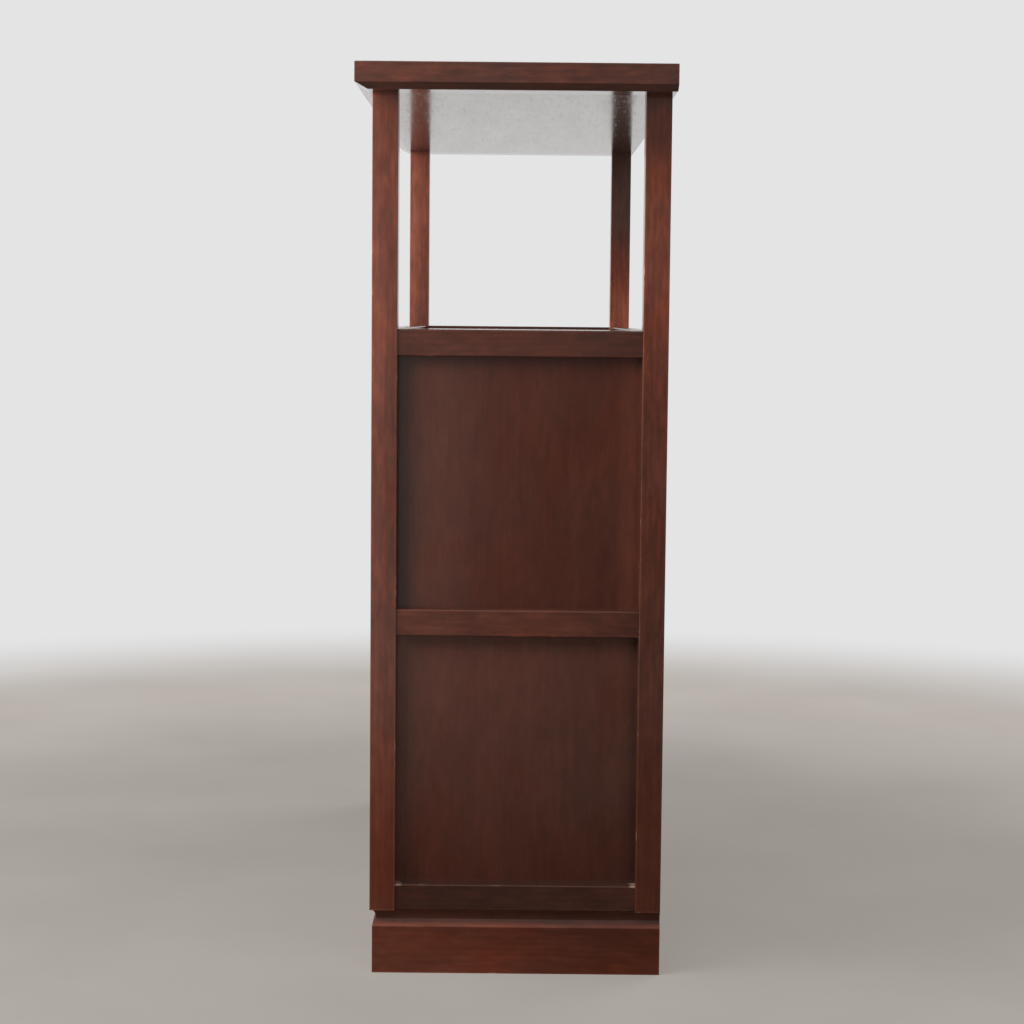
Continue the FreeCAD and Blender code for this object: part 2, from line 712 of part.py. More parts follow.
for level, rail_z, board_name in (
    ("deck", DECK_Z, "deck_board"),
    ("middle", MIDDLE_Z, "middle_shelf"),
    ("base", BASE_Z, "floor_board"),
):
    save(f"{level}_front_rail", long_rail(True, rail_z))
    save(f"{level}_rear_rail", long_rail(False, rail_z))
    save_both_ends(f"{level}_{{side}}_rail", end_rail(rail_z))
    save(board_name, shelf_board(rail_z))

for name, tier in TIERS:
    save_both_ends(f"{name}_{{side}}_end_panel", end_panel(tier))
    save(f"{name}_back_panel", back_panel(tier))
    save(f"{name}_front_panels", pair(front_panel(tier)))
    for side in ("right", "left"):
        turn = other_end if side == "left" else Part.Shape.copy
        save(f"{name}_{side}_door_frame", [turn(piece) for piece in door_frame(tier)])
        save(f"{name}_{side}_door_panel", turn(door_panel(tier, DOOR_GROOVE - PANEL_SPARE)))
        save(f"{name}_{side}_door_leaves", [turn(piece) for piece in door_leaves(tier)])
        save(f"{name}_{side}_pull_plate", [turn(piece) for piece in pull_plate(tier)])
        save(f"{name}_{side}_pull_ring", turn(pull_ring(tier)))

tiers = [tier for _, tier in TIERS]
save("door_muntins", [piece for tier in tiers for piece in pair(muntin(tier))])
save("door_stops", [door_stop(tier) for tier in tiers])
save("fixed_hinge_leaves", [twin for tier in tiers for leaf in fixed_leaves(tier) for twin in pair(leaf)])
save("hinge_pins", [pin for tier in tiers for z in hinge_heights(tier) for pin in pair(hinge_pin(z))])

save("plinth_front", plinth_front())
save("plinth_rear", plinth_rear())
save_both_ends("plinth_{side}", plinth_end())
save("plinth_blocks", plinth_blocks())
save("plinth_dowels", plinth_dowels())
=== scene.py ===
import math

import bmesh
import bpy
from mathutils import Matrix, Vector


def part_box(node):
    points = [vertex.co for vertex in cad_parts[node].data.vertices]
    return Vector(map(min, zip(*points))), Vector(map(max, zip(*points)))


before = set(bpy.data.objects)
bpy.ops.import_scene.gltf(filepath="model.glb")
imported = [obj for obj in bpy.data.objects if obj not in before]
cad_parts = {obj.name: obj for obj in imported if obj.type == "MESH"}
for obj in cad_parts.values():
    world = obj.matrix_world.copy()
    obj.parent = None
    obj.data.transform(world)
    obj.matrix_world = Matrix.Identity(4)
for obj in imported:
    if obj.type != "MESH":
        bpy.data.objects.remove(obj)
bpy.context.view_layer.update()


# Corner posts: four slender square posts of a close-grained reddish hardwood, planed, stained
# and lacquered. Their grain stands upright, and a tenon on each head goes into the top.
# The lacquer has worn thin along the arrises, where the stain shows lighter.
class Shade:
    """An output socket of a finish. Arithmetic on it adds Math nodes to the same tree."""

    def __init__(self, tree, output=None):
        self.tree = tree
        self.output = output

    def node(self, kind, settings=None, sockets=None, out=0):
        """Add a node: first its settings, then the value of each socket or the link into it."""
        made = self.tree.nodes.new(kind)
        for setting, value in (settings or {}).items():
            if setting == "stops":
                ramp = made.color_ramp.elements
                while len(ramp) < len(value):
                    ramp.new(1.0)
                for stop, (position, colour) in zip(ramp, value):
                    stop.position = position
                    stop.color = colour
            else:
                setattr(made, setting, value)
        for socket, value in (sockets or {}).items():
            if isinstance(value, Shade):
                self.tree.links.new(value.output, made.inputs[socket])
            else:
                made.inputs[socket].default_value = value
        return Shade(self.tree, made.outputs[out] if made.outputs else None)

    def other(self, out):
        """Another output of the same node."""
        return Shade(self.tree, self.output.node.outputs[out])

    def maths(self, operation, *others):
        """Math node with this socket as its first value."""
        values = dict(enumerate((self, *others)))
        return self.node("ShaderNodeMath", {"operation": operation}, values)

    def __add__(self, value):
        return self.maths("ADD", value)

    __radd__ = __add__

    def __sub__(self, value):
        return self.maths("SUBTRACT", value)

    def __rsub__(self, value):
        return self.maths("MULTIPLY_ADD", -1.0, value)

    def __mul__(self, value):
        return self.maths("MULTIPLY", value)

    __rmul__ = __mul__

    def __abs__(self):
        return self.maths("ABSOLUTE")

    def least(self, value):
        return self.maths("MINIMUM", value)

    def most(self, value):
        return self.maths("MAXIMUM", value)

    def within(self, low, high):
        """Smooth step from 0 at low to 1 at high."""
        sockets = {"Value": self, "From Min": low, "From Max": high}
        return self.node("ShaderNodeMapRange", {"interpolation_type": "SMOOTHSTEP"}, sockets)

    def mixed(self, first, second):
        """Blend of two colours, with this socket as the share of the second."""
        sockets = {0: self, 6: first, 7: second}
        return self.node("ShaderNodeMix", {"data_type": "RGBA"}, sockets, out=2)


def linear(red, green, blue):
    """Colour of a shader socket from the 0 to 255 values of a colour card, by the sRGB curve."""
    card = (red, green, blue)
    return (*[((c / 255 + 0.055) / 1.055) ** 2.4 if c > 10 else c / 3295 for c in card], 1.0)


def new_finish(name):
    """Empty material with that name, and the start of its node tree."""
    material = bpy.data.materials.new(name)
    material.use_nodes = True
    material.node_tree.nodes.clear()
    return material, Shade(material.node_tree)


def object_axes(start):
    """X, Y and Z of a point of the piece, in the shelf's own frame."""
    place = start.node("ShaderNodeTexCoord", out="Object")
    axes = start.node("ShaderNodeSeparateXYZ", {}, {"Vector": place})
    return [axes, axes.other("Y"), axes.other("Z")]


def inset(place, low, high):
    """How far a point lies inside two opposite faces of a piece."""
    return (high - low) / 2 - abs(place - (low + high) / 2)


def block_arris(axes, low, high):
    """Distance to the nearest edge of a block: the middle one of its three insets."""
    a, b, c = [inset(place, low[i], high[i]) for i, place in enumerate(axes)]
    return a.least(b).most(a.most(b).least(c))


AXES = "XYZ"


def drift(axes, low, high, value):
    """A number, or one that changes along a board: an axis, then pairs of a share and a number.

    A list of such changes is multiplied, and each number may change along another axis in turn.
    """
    if isinstance(value, list):
        first, *others = [drift(axes, low, high, part) for part in value]
        return math.prod(others, start=first)
    if not isinstance(value, tuple):
        return value
    axis, *stops = value
    i = AXES.index(axis)
    share = (axes[i] - low[i]) * (1 / (high[i] - low[i]))
    stops = [(place, drift(axes, low, high, number)) for place, number in stops]
    total = stops[0][1]
    for (here, first), (there, last) in zip(stops, stops[1:]):
        total = total + (last - first) * share.within(here, there)
    return total


# Stretch along the grain, scale and detail of each kind of figure, and the cuts that single it out
FIGURE = {
    "cloud": (0.30, 30.0, 4.0),
    "mottle": (0.30, 120.0, 2.0),
    "streak": (0.06, 260.0, 3.0),
    "pore": (0.05, 1300.0, 1.0),
    "blush": (0.50, 15.0, 3.0),
}
FIBRE_ROUGHNESS = 0.55
PORE_CUT, BLUSH_CUT, NICK_CUT = (0.60, 0.74), (0.44, 0.66), (0.66, 0.72)
NEXT_BOARD = 3.7
WIDE_RUN, WIDE_RINGS = 0.35, 2.6
GRAIN_WAVES, GRAIN_WANDER = 7.0, 0.022
HEART, RING_WAVER = Vector((0.0, 0.055, 0.085)), 9.0

# Distances from an arris, in metres, over which the finish is worn or nicked, and over which a
# rail's crest is paler where it meets a post
WORN_BAND, NICK_BAND, CREST_MARK_BAND = (0.0003, 0.0024), (0.0004, 0.0012), (0.0008, 0.0026)
ARRIS_FRAY, CREST_MARK_FRAY = 0.0016, 0.014
WORN_LEAST = 0.35
CREST_MARK_START, CREST_MARK_END, CREST_MARK_SHARE = 0.001, 0.008, 0.8
# Pale grey mixed in as a painted sheen: its colour, the least of it, and how much the cloudy figure
# adds.
PAINTED_SHEEN_GREY, PAINTED_SHEEN_LEAST, PAINTED_SHEEN_CLOUD = (150, 140, 132), 0.6, 0.8
LOOKS_DOWN = (-0.8, -0.3)
ROUGH_CLOUD, ROUGH_PORE, ROUGH_WORN = 0.06, 0.12, 0.08
RELIEF_STREAK, RELIEF_MOTTLE, RELIEF_PORE = 0.4, 0.25, 0.25


def wood(
    name, grain, finish, tone=1.0, figure=1.0, rough=0.20, painted_sheen=0.0,
    under=0.0, wide=False, crest_marks=0.0, axes_of=None, arris_of=None,
):
    """Finish of one wooden node. grain is the axis that its fibres follow.

    tone makes the stain lighter or darker, and in places paints light and shade into it. bloom
    mixes in a pale grey that is a painted sheen, and figure is how plainly the grain shows. All
    three may drift along an axis. under is more of that painted sheen, on the faces that look down.
    A wide board is sawn flat, so its figure is longer and its rings show more.
    chips is the tenon's length of a rail that is paler on its crest where it meets the posts.
    axes_of turns the point's X, Y and Z into places along, across and through the board, where one
    node holds boards of two directions. arris_of gives the distance to the nearest worn edge, where
    the node is more than one block.
    """
    material, start = new_finish("wood_" + name)
    axes = object_axes(start)
    low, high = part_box(name)
    if axes_of:
        along, across, through = axes_of(axes)
    else:
        along = axes[AXES.index(grain)]
        across, through = [axes[AXES.index(axis)] for axis in AXES if axis != grain]
    board = len(bpy.data.materials)
    run, plain_rings = (WIDE_RUN, WIDE_RINGS) if wide else (1.0, 1.0)

    waves = {"W": along * GRAIN_WAVES + board, "Scale": 1.0}
    bend = start.node("ShaderNodeTexNoise", {"noise_dimensions": "1D"}, waves)
    wander = across + GRAIN_WANDER * (bend - 0.5)

    def fibres(kind):
        """Noise drawn out along the wandering grain, with its own cut of the log for each board."""
        stretch, scale, detail = FIGURE[kind]
        cut = {"X": along * (run * stretch) + NEXT_BOARD * board, "Y": wander, "Z": through}
        place = start.node("ShaderNodeCombineXYZ", {}, cut)
        sockets = {"Vector": place, "Scale": scale, "Detail": detail, "Roughness": FIBRE_ROUGHNESS}
        return start.node("ShaderNodeTexNoise", {"normalize": True}, sockets)

    cloud, mottle, streak = fibres("cloud"), fibres("mottle"), fibres("streak")
    pore = fibres("pore").within(*PORE_CUT)
    section = start.node("ShaderNodeCombineXYZ", {}, {"X": 0.0, "Y": across, "Z": through})
    middle = [(low[i] + high[i]) / 2 for i, axis in enumerate(AXES) if axis != grain]
    heart = Vector((0.0, *middle)) + HEART
    apart = {"operation": "DISTANCE"}
    radius = start.node("ShaderNodeVectorMath", apart, {0: section, 1: heart}, out="Value")
    ring = (radius * (2 * math.pi / finish["ring_width"]) + cloud * RING_WAVER).maths("SINE")

    drawn = finish["cloud"] * (cloud - 0.5) + finish["mottle"] * (mottle - 0.5)
    drawn = drawn + finish["streak"] * (streak - 0.5) + finish["rings"] * plain_rings * ring
    drawn = 0.5 + drift(axes, low, high, figure) * drawn
    stops = [(stop, linear(*colour)) for stop, colour in finish["stain"]]
    colour = start.node("ShaderNodeValToRGB", {"stops": stops}, {"Fac": drawn})
    flushed = {0: colour, 1: finish["flush"]}
    red = start.node("ShaderNodeVectorMath", {"operation": "MULTIPLY"}, flushed)
    colour = fibres("blush").within(*BLUSH_CUT).mixed(colour, red)
    colour = (pore * finish["pore"]).mixed(colour, linear(*finish["deep"]))

    edge = arris_of(axes) if arris_of else block_arris(axes, low, high)
    fray = ARRIS_FRAY * (streak - 0.5)
    worn = (1 - (edge + fray).within(*WORN_BAND)) * (WORN_LEAST + cloud)
    colour = (worn * finish["wear"]).mixed(colour, linear(*finish["worn"]))
    struck = (mottle + 0.5 * (cloud - 0.5)).within(*NICK_CUT)
    nick = (1 - edge.within(*NICK_BAND)) * struck
    colour = (nick * finish["nick"]).mixed(colour, linear(*finish["bare"]))
    stained = {0: colour, "Scale": drift(axes, low, high, tone)}
    colour = start.node("ShaderNodeVectorMath", {"operation": "SCALE"}, stained)
    # Paler marks on the rail's crest at each end, where it meets the posts.
    if crest_marks:
        i = AXES.index(grain)
        ends = inset(along, low[i], high[i]) + CREST_MARK_FRAY * (mottle - 0.5)
        at_post = 1 - ends.within(crest_marks + CREST_MARK_START, crest_marks + CREST_MARK_END)
        crest = 1 - (high[2] - axes[2] + fray).within(*CREST_MARK_BAND)
        colour = (CREST_MARK_SHARE * (at_post * crest)).mixed(colour, linear(*finish["bare"]))
    # Painted sheen: a pale grey mixed into the colour, with more on the faces that look down.
    painted_sheen_share = (PAINTED_SHEEN_LEAST + PAINTED_SHEEN_CLOUD * cloud) * drift(axes, low, high, painted_sheen)
    if under:
        facing = start.node("ShaderNodeNewGeometry", out="Normal")
        facing = start.node("ShaderNodeSeparateXYZ", {}, {"Vector": facing}, out="Z")
        painted_sheen_share = painted_sheen_share + under * (1 - facing.within(*LOOKS_DOWN))
    colour = painted_sheen_share.mixed(colour, linear(*PAINTED_SHEEN_GREY))

    satin = rough + ROUGH_CLOUD * (cloud - 0.5) + ROUGH_PORE * pore + ROUGH_WORN * worn
    height = RELIEF_STREAK * streak + RELIEF_MOTTLE * mottle - RELIEF_PORE * pore
    bumps = {"Strength": 0.3, "Distance": 0.0002, "Height": height}
    relief = start.node("ShaderNodeBump", {}, bumps)
    shader = start.node(
        "ShaderNodeBsdfPrincipled",
        {},
        {"Base Color": colour, "Roughness": satin, "IOR": finish["ior"], "Normal": relief},
    )
    start.node("ShaderNodeOutputMaterial", {}, {"Surface": shader})
    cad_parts[name].data.materials[0] = material


LACQUER = {
    "stain": [(0.12, (63, 34, 26)), (0.5, (101, 54, 40)), (0.88, (138, 73, 53))],
    "flush": (1.06, 0.90, 0.78),
    "deep": (42, 21, 16),
    "worn": (156, 96, 72),
    "bare": (186, 152, 128),
    "cloud": 0.55,
    "mottle": 0.38,
    "streak": 0.28,
    "rings": 0.025,
    "ring_width": 0.0065,
    "pore": 0.30,
    "wear": 0.28,
    "nick": 0.55,
    "ior": 1.45,
}
# Tone up each post: partly its own colour, partly painted light and shade. The posts at the far,
# left-hand end are painted up to nearly three times lighter in place of light that doesn't reach
# them, both right-hand posts are painted lighter in the open tier, and the tops of both rear posts
# are painted darker as the top board's shadow.
POST_TONE_AND_PAINTED_LIGHT = {
    "front_right": [
        (0.07, 1.05), (0.22, 1.28), (0.31, 1.19), (0.55, 1.20), (0.79, 1.56), (0.93, 1.27),
    ],
    "rear_right": [(0.07, 0.70), (0.31, 0.69), (0.55, 0.74), (0.79, 1.34), (0.95, 0.69)],
    "front_left": [(0.07, 1.10), (0.74, 2.05), (0.88, 2.60)],
    "rear_left": [(0.07, 1.05), (0.70, 2.80), (0.80, 1.70), (0.88, 0.75), (0.95, 0.66)],
}
# Across each front post's face: painted lighter near its front edge and darker towards the back, a
# painted falloff of the light from the front that grows stronger up the post.
FRONT_POST_PAINTED_LIGHT = (
    "Y",
    (0.0, 0.88),
    (0.10, ("Z", (0.08, 1.06), (0.24, 1.14), (0.5, 1.24))),
    (0.75, ("Z", (0.08, 0.94), (0.24, 0.88), (0.5, 0.77))),
)
CALM_FOOT = ("Z", (0.08, 0.6), (0.30, 1.05))
# Pale grey mixed in up each post, a painted sheen.
POST_PAINTED_SHEEN = {
    "front_right": [(0.12, 0.0), (0.30, 0.06), (0.50, 0.02), (0.70, 0.03), (0.90, 0.0)],
    "rear_right": [(0.12, 0.0), (0.30, 0.05), (0.50, 0.01), (0.75, 0.0)],
    "front_left": [(0.60, 0.01), (0.80, 0.03)],
    "rear_left": [(0.80, 0.0), (0.88, 0.11)],
}
for corner, stain in POST_TONE_AND_PAINTED_LIGHT.items():
    tone = [("Z", *stain), FRONT_POST_PAINTED_LIGHT if "front" in corner else 1.0]
    wood(f"post_{corner}", "Z", LACQUER, tone, CALM_FOOT, painted_sheen=("Z", *POST_PAINTED_SHEEN[corner]))


# Rails: three frames of four rails, tenoned into the posts and set back a little from their faces.
# Grain runs along each rail, and every rail is toned a little differently.
# The lowest frame is the darkest, and its end rails are paler on their crests where they meet the
# posts.
RAIL_TENON = 0.015
# Front, middle and back tone of each frame. The deck and middle frames are painted darker towards
# the back, a painted falloff of the light from the front.
RAIL_TONE_AND_PAINTED_FALLOFF = {
    "deck": (0.62, 0.59, 0.45),
    "middle": (0.86, 0.86, 0.64),
    "base": (0.455, 0.375, 0.40),
}
# Pale grey mixed into each frame's rails, a painted sheen.
RAIL_PAINTED_SHEEN = {"deck": 0.03, "middle": 0.025, "base": 0.034}
for level, (front, centre, back) in RAIL_TONE_AND_PAINTED_FALLOFF.items():
    painted_sheen = RAIL_PAINTED_SHEEN[level]
    crest_marks = RAIL_TENON if level == "base" else 0.0
    for side in ("left", "right"):
        tone = ("Y", (0.1, front), (0.5, centre), (0.9, back))
        wood(f"{level}_{side}_rail", "Y", LACQUER, tone, painted_sheen=painted_sheen, crest_marks=crest_marks)
    wood(f"{level}_front_rail", "X", LACQUER, front, painted_sheen=painted_sheen)
    wood(f"{level}_rear_rail", "X", LACQUER, back, painted_sheen=painted_sheen)


# Shelf boards: the deck of the open tier, the middle shelf and the floor of the lower cupboard.
# Wide boards with their grain along the shelf, tongued into the rails and notched round the posts.
for piece, tone in {"deck_board": 0.95, "middle_shelf": 1.0, "floor_board": 0.95}.items():
    wood(piece, "X", LACQUER, tone, figure=0.8, wide=True)


# Panels: thin boards that lie loose in grooves, with upright grain in the ends and the front.
# The back panels run along the shelf. All are a shade darker than the posts, and quieter in figure.
# Tone of the end panels, partly their own colour and partly painted light and shade. The upper ones
# are painted dark along their front edge as the post's shadow and lighter along their back edge;
# the lower ones are painted darker towards the back and lighter towards their top, under the middle
# rail.
PANEL_TONE_AND_PAINTED_LIGHT = {
    "upper": ("Y", (0.02, 0.40), (0.12, 0.80), (0.40, 0.66), (0.86, 0.59), (0.98, 1.06)),
    "lower": [("Y", (0.10, 0.90), (0.80, 0.70)), ("Z", (0.10, 0.74), (0.50, 0.81), (0.85, 1.00))],
}
# Pale grey mixed into the end panels, a painted sheen that is strongest near their front edge.
PANEL_PAINTED_SHEEN = {
    "upper": ("Y", (0.02, 0.10), (0.16, 0.04), (0.45, 0.005)),
    "lower": [("Z", (0.05, 0.015), (0.45, 0.055)), ("Y", (0.02, 2.0), (0.16, 1.1), (0.45, 1.0))],
}
for tier, tone in PANEL_TONE_AND_PAINTED_LIGHT.items():
    for side in ("left", "right"):
        wood(f"{tier}_{side}_end_panel", "Z", LACQUER, tone, figure=0.5, painted_sheen=PANEL_PAINTED_SHEEN[tier])
    # The back and front panels carry a little painted sheen too.
    wood(f"{tier}_back_panel", "X", LACQUER, tone=0.75, figure=0.7, painted_sheen=0.02, wide=True)
    wood(f"{tier}_front_panels", "Z", LACQUER, tone=0.82, figure=0.7, painted_sheen=0.02)


# Top: one wide board, its grain along the shelf, with a cross-grained cleat tongued on at each end.
# Polished more than the rest, so its underside mirrors the pale backdrop at a low angle.
# Pale grey mixed into the faces that look down and towards the front of each cleat, a painted
# sheen.
TOP_UNDER_PAINTED_SHEEN = 0.15
CLEAT_STAIN = ("Y", (0.0, 0.60), (0.5, 0.65), (1.0, 0.53))
CLEAT_PAINTED_SHEEN = ("Y", (0.0, 0.03), (0.6, 0.01))
wood("top_board", "X", LACQUER, tone=0.9, rough=0.16, under=TOP_UNDER_PAINTED_SHEEN, wide=True)
for side in ("left", "right"):
    wood(
        f"top_cleat_{side}", "Y", LACQUER, CLEAT_STAIN,
        figure=1.4, rough=0.12, painted_sheen=CLEAT_PAINTED_SHEEN, under=TOP_UNDER_PAINTED_SHEEN,
    )


# Plinth: moulded boards of the same lacquered wood, mitred at the front corners, square at the
# back, and dowelled to the base rails. Its cove is painted dark as shade, its chamfer painted
# light.
# The glue blocks and dowels are plain pale wood, never finished.
PLINTH_STAIN, PLINTH_FIGURE = 1.2, 0.75
# Painted lighter at the front and darker at the back, a painted falloff of the light from the
# front.
PLINTH_PAINTED_FALLOFF = ("Y", (0.1, 1.28), (0.9, 0.82))
# Tone up the plinth: darker towards the top of its face, its chamfer painted lighter as light from
# above, and its cove painted darker as shade under the case.
PLINTH_PAINTED_LIGHT_AND_SHADE = (
    "Z", (0.05, 1.08), (0.45, 0.92), (0.72, 0.84), (0.755, 1.33), (0.83, 0.54), (0.92, 0.65),
)
# Pale grey in the cove, a painted sheen.
COVE_PAINTED_SHEEN = ("Z", (0.79, 0.0), (0.83, 0.032))
for side in ("left", "right"):
    tone = [PLINTH_PAINTED_FALLOFF, PLINTH_PAINTED_LIGHT_AND_SHADE]
    wood(f"plinth_{side}", "Y", LACQUER, tone, PLINTH_FIGURE, painted_sheen=COVE_PAINTED_SHEEN)
wood("plinth_front", "X", LACQUER, [PLINTH_STAIN, PLINTH_PAINTED_LIGHT_AND_SHADE], PLINTH_FIGURE, painted_sheen=COVE_PAINTED_SHEEN)
wood("plinth_rear", "X", LACQUER, PLINTH_STAIN, PLINTH_FIGURE)

PLAIN_WOOD = {
    "stain": [(0.12, (150, 116, 80)), (0.5, (184, 150, 110)), (0.88, (206, 174, 134))],
    "flush": (1.0, 0.96, 0.90),
    "deep": (120, 88, 58),
    "worn": (200, 170, 132),
    "bare": (214, 186, 150),
    "cloud": 0.6,
    "mottle": 0.4,
    "streak": 0.9,
    "rings": 0.10,
    "ring_width": 0.0035,
    "pore": 0.35,
    "wear": 0.2,
    "nick": 0.2,
    "ior": 1.45,
}
for piece in ("plinth_blocks", "plinth_dowels"):
    wood(piece, "Z", PLAIN_WOOD, rough=0.72)


# Muntins and stops: uprights between the doors and the fixed panels, tenoned into the front rails.
# The stops are small rebated strips glued behind the rail over each pair of doors.
MUNTIN_HALF, MUNTIN_CENTRE = 0.013, 0.2295


def muntin_arris(axes):
    """Distance to the nearest long edge of a muntin on either side of the doors."""
    low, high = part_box("door_muntins")
    side = MUNTIN_HALF - abs(abs(axes[0]) - MUNTIN_CENTRE)
    return side.most(inset(axes[1], low[1], high[1]))


wood("door_muntins", "Z", LACQUER, tone=0.95, figure=0.8, arris_of=muntin_arris)
wood("door_stops", "X", LACQUER, tone=0.8)


# Doors: two stiles and two rails, tenoned together round a loose panel with upright grain.
# Grain runs up the stiles and sideways in the rails.
STILE = 0.030
DOOR_NEAR, DOOR_FAR = 0.00075, 0.2155
DOOR_STAIN = {"upper": 1.0, "lower": 0.94}
DOOR_PANEL_STAIN = 0.85


def door_members(tier, side):
    """Grain and worn edges of one door frame, for its stiles and its rails."""
    low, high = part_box(f"{tier}_{side}_door_frame")
    across = (DOOR_FAR - DOOR_NEAR) / 2
    tall = (high[2] - low[2]) / 2
    height = (high[2] + low[2]) / 2

    def from_middle(axes):
        """How far a point lies beside and above or below the middle of the door."""
        return abs(abs(axes[0]) - (DOOR_NEAR + across)), abs(axes[2] - height)

    def grain_of(axes):
        """Places along, across and through the member that a point is in."""
        sideways, _ = from_middle(axes)
        in_rail = sideways.maths("LESS_THAN", across - STILE)
        x, y, z = axes
        return z + in_rail * (x - z), x + in_rail * (z - x), y

    def arris_of(axes):
        """Distance to the nearest long edge of that member."""
        sideways, upright = from_middle(axes)
        stile = STILE / 2 - abs(sideways - (across - STILE / 2))
        rail = STILE / 2 - abs(upright - (tall - STILE / 2))
        in_rail = sideways.maths("LESS_THAN", across - STILE)
        member = stile + in_rail * (rail - stile)
        return member.most(inset(axes[1], low[1], high[1]))

    return grain_of, arris_of


for tier, tone in DOOR_STAIN.items():
    for side in ("left", "right"):
        grain_of, arris_of = door_members(tier, side)
        door = f"{tier}_{side}_door"
        wood(door + "_frame", "Z", LACQUER, tone, 0.8, axes_of=grain_of, arris_of=arris_of)
        wood(door + "_panel", "Z", LACQUER, DOOR_PANEL_STAIN * tone, figure=0.7)


# Hinges and pulls: cast and filed brass, gone brown with handling and bright again where it rubs.
# The leaves are nailed to the faces of doors and muntins, and the ring hangs in an eye through
# its plate.
BRIGHT_BRASS, BROWN_BRASS = linear(206, 158, 94), linear(122, 86, 52)
TARNISH_CUT, TARNISH_SPECKS = (0.26, 0.74), 0.35
OXIDE = 0.55
BRASS_ROUGH, TARNISH_ROUGH, SPECK_ROUGH = 0.34, 0.20, 0.08


def aged_brass(name):
    """Finish of one brass node."""
    material, start = new_finish("brass_" + name)
    place = start.node("ShaderNodeTexCoord", out="Object")
    patch = start.node("ShaderNodeTexNoise", {}, {"Vector": place, "Scale": 70.0, "Detail": 5.0})
    speck = start.node("ShaderNodeTexNoise", {}, {"Vector": place, "Scale": 900.0, "Detail": 2.0})
    tarnish = (patch + TARNISH_SPECKS * (speck - 0.5)).within(*TARNISH_CUT)
    colour = tarnish.mixed(BRIGHT_BRASS, BROWN_BRASS)
    rough = BRASS_ROUGH + TARNISH_ROUGH * tarnish + SPECK_ROUGH * speck
    metal = 1 - OXIDE * tarnish
    pits = {"Strength": 0.2, "Distance": 0.0001, "Height": speck + patch}
    relief = start.node("ShaderNodeBump", {}, pits)
    shader = start.node(
        "ShaderNodeBsdfPrincipled",
        {},
        {"Base Color": colour, "Roughness": rough, "Metallic": metal, "Normal": relief},
    )
    start.node("ShaderNodeOutputMaterial", {}, {"Surface": shader})
    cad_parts[name].data.materials[0] = material


for piece in ("fixed_hinge_leaves", "hinge_pins"):
    aged_brass(piece)
for tier in ("upper", "lower"):
    for side in ("left", "right"):
        for piece in ("door_leaves", "pull_plate", "pull_ring"):
            aged_brass(f"{tier}_{side}_{piece}")


# Studio floor: a round of pale smooth screed that the shelf stands on.
# It melts into the pale backdrop at its rim, and gives less bounced light than it shows.
FLOOR_RADIUS, FLOOR_SIDES = 2.6, 96
FLOOR_RIM = (0.62 * FLOOR_RADIUS, 0.98 * FLOOR_RADIUS)
SCREED_DARK, SCREED_LIGHT = linear(168, 162, 155), linear(184, 178, 172)
SCREED_BOUNCE, SCREED_MIRRORED = linear(134, 128, 122), linear(84, 79, 75)
EVEN_LIGHT, EVEN_NEAR, EVEN_REACH = 1.12, 0.45, (0.7, 1.6)

disc = bmesh.new()
bmesh.ops.create_circle(disc, cap_ends=True, radius=FLOOR_RADIUS, segments=FLOOR_SIDES)
floor_mesh = bpy.data.meshes.new("studio_floor")
disc.to_mesh(floor_mesh)
disc.free()
floor = bpy.data.objects.new("studio_floor", floor_mesh)
bpy.context.scene.collection.objects.link(floor)

material, start = new_finish("pale_screed")
path = start.node("ShaderNodeLightPath", out="Is Camera Ray")
seen = path.most(path.other("Is Transmission Ray"))
place = start.node("ShaderNodeTexCoord", out="Object")
dust = start.node("ShaderNodeTexNoise", {}, {"Vector": place, "Scale": 3.0, "Detail": 6.0})
shown = dust.mixed(SCREED_DARK, SCREED_LIGHT)
unseen = path.other("Is Glossy Ray").mixed(SCREED_BOUNCE, SCREED_MIRRORED)
reach = start.node("ShaderNodeVectorMath", {"operation": "LENGTH"}, {0: place}, out="Value")
matt = start.node("ShaderNodeBsdfDiffuse", {}, {"Color": seen.mixed(unseen, shown)})
even = start.node("ShaderNodeEmission", {}, {"Color": shown, "Strength": EVEN_LIGHT})
glow = seen * (EVEN_NEAR + (1 - EVEN_NEAR) * reach.within(*EVEN_REACH))
matt = start.node("ShaderNodeMixShader", {}, {0: glow, 1: matt, 2: even})
clear = start.node("ShaderNodeBsdfTransparent")
rim = reach.within(*FLOOR_RIM)
screed = start.node("ShaderNodeMixShader", {}, {0: rim, 1: matt, 2: clear})
start.node("ShaderNodeOutputMaterial", {}, {"Surface": screed})
floor_mesh.materials.append(material)


# Backdrop: an evenly pale surround, as the camera sees it and as gloss that faces away mirrors it.
# On the viewer's side it is bright above and to the left and falls off to the right, which the
# satin lacquer mirrors as a soft sheen. The light that it spreads comes mostly from above.
BACKDROP, BEHIND = linear(228, 228, 229), linear(247, 246, 245)
SHEEN_DIM, SHEEN_BRIGHT = linear(56, 54, 52), linear(206, 204, 202)
ROUND_LOW, ROUND_HIGH = linear(142, 140, 138), linear(168, 166, 164)
SPREAD_LOW, SPREAD_HIGH = linear(52, 52, 52), linear(140, 140, 142)
SHEEN_RISE, SHEEN_TURN, SHEEN_EDGE = 2.5, 9.0, (-0.35, 0.35)

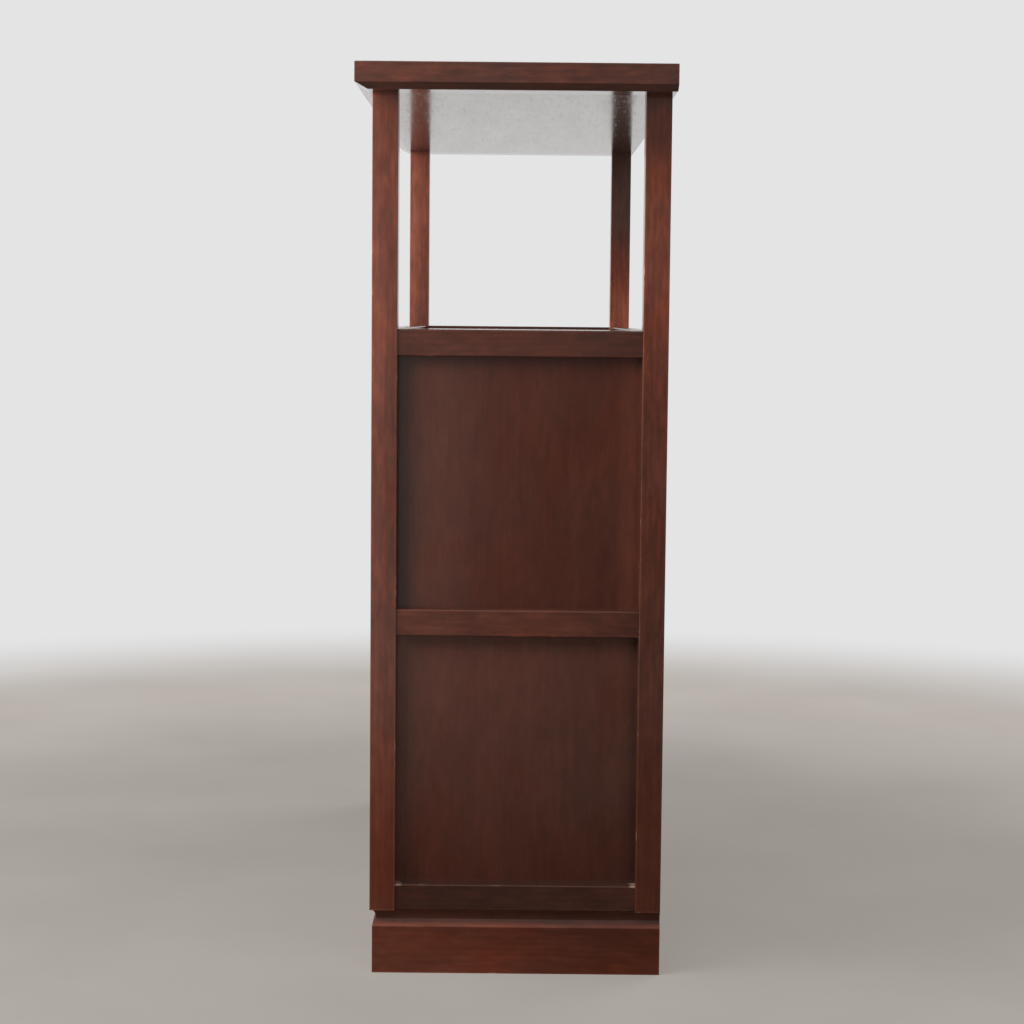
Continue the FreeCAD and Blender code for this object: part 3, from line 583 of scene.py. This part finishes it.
world = bpy.data.worlds.new("pale_backdrop")
bpy.context.scene.world = world
world.use_nodes = True
world.node_tree.nodes.clear()
start = Shade(world.node_tree)
way = start.node("ShaderNodeTexCoord", out="Generated")
to_viewer = start.node("ShaderNodeSeparateXYZ", {}, {"Vector": way})
to_right, upward = to_viewer.other("Y"), to_viewer.other("Z")
path = start.node("ShaderNodeLightPath", out="Is Camera Ray")
plain = path.most(path.other("Is Transmission Ray"))
bright = (SHEEN_RISE * upward - SHEEN_TURN * to_right).within(*SHEEN_EDGE)
bright = bright.most(upward.within(0.02, 0.12))
mirrored = bright.mixed(SHEEN_DIM, SHEEN_BRIGHT)
around = upward.within(-0.2, 0.8).mixed(ROUND_LOW, ROUND_HIGH)
mirrored = to_viewer.within(0.5, 0.9).mixed(around, mirrored)
mirrored = to_viewer.within(-0.75, 0.25).mixed(BEHIND, mirrored)
mirrored = plain.mixed(mirrored, BACKDROP)
spread = upward.within(-0.4, 1.0).mixed(SPREAD_LOW, SPREAD_HIGH)
colour = plain.most(path.other("Is Glossy Ray")).mixed(spread, mirrored)
backdrop = start.node("ShaderNodeBackground", {}, {"Color": colour, "Strength": 1.0})
start.node("ShaderNodeOutputWorld", {}, {"Surface": backdrop})


# Lamps: square soft boxes. The key stands on the viewer's left, near enough to fall off across
# and down the end of the shelf, and the overhead one draws the ledges and the plinth's chamfer.
# A fill stands low on the right, and two more light the front and the back.
def soft_lamp(name, place, aim, size, power):
    """Square soft box at a place, aimed at a point."""
    lamp = bpy.data.lights.new(name, "AREA")
    lamp.shape = "SQUARE"
    lamp.size = size
    lamp.energy = power
    box = bpy.data.objects.new(name, lamp)
    box.location = place
    box.rotation_euler = (Vector(aim) - Vector(place)).to_track_quat("-Z", "Y").to_euler()
    box.visible_camera = False
    box.visible_glossy = False
    bpy.context.scene.collection.objects.link(box)


soft_lamp("key_lamp", (1.15, -0.95, 1.30), aim=(0.45, 0.0, 1.20), size=0.7, power=9.8)
soft_lamp("overhead_lamp", (1.75, -0.45, 2.1), aim=(0.50, 0.0, 0.5), size=1.2, power=7.4)
soft_lamp("fill_lamp", (2.25, 1.1, 0.5), aim=(0.45, 0.0, 0.5), size=1.2, power=8.0)
soft_lamp("front_lamp", (0.75, -1.95, 1.45), aim=(-0.1, 0.0, 0.55), size=1.4, power=25.0)
soft_lamp("back_lamp", (-1.7, 1.9, 1.7), aim=(-0.1, 0.0, 0.5), size=1.6, power=34.0)


# Camera: two and a half metres from the right-hand end of the shelf, a little above the deck.
# It faces the end squarely through a long lens, tilted down five degrees.
EYE = Vector((3.0624, 0.0015, 0.7775))
HEADING, TILT, ROLL = [math.radians(angle) for angle in (90.053, 84.981, 0.541)]
LENS, SENSOR = 78.39, 36.0
camera_data = bpy.data.cameras.new("camera")
camera_data.lens = LENS
camera_data.sensor_width = SENSOR
camera = bpy.data.objects.new("camera", camera_data)
turn = Matrix.Rotation(HEADING, 4, "Z") @ Matrix.Rotation(TILT, 4, "X")
turn = turn @ Matrix.Rotation(ROLL, 4, "Z")
camera.matrix_world = Matrix.Translation(EYE) @ turn
bpy.context.scene.collection.objects.link(camera)
bpy.context.scene.camera = camera
bpy.context.scene.view_settings.view_transform = "Standard"
